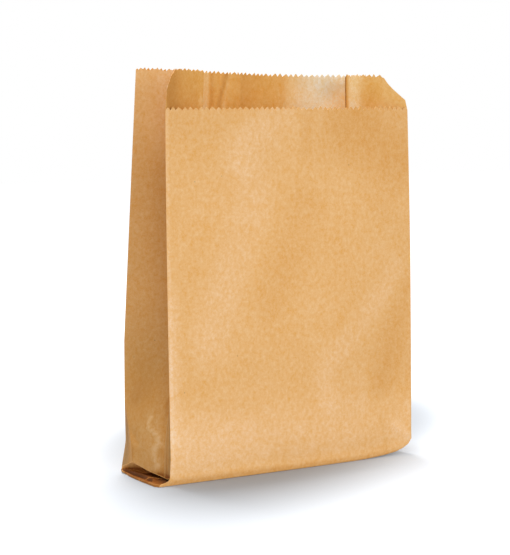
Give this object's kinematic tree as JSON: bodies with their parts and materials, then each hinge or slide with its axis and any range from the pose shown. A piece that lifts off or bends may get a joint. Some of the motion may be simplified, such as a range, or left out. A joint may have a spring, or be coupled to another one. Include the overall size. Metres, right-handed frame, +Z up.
{
  "type": "paper bag",
  "caption": "Upright kraft paper bag with pleated side gussets, folded bottom and serrated open mouth whose back edge stands higher than the front.",
  "frame": {"origin": "centre of the bounding box at floor level", "axes": "+Z up to the mouth, +X along the width of the front panel, -Y out of the lower front panel, +Y out of the higher back panel"},
  "size_m": [0.2142, 0.0626, 0.2743],
  "materials": {
    "kraft_paper": "matte"
  },
  "bodies": {
    "root": {"paper_bag": "kraft_paper"}
  },
  "joints": []
}
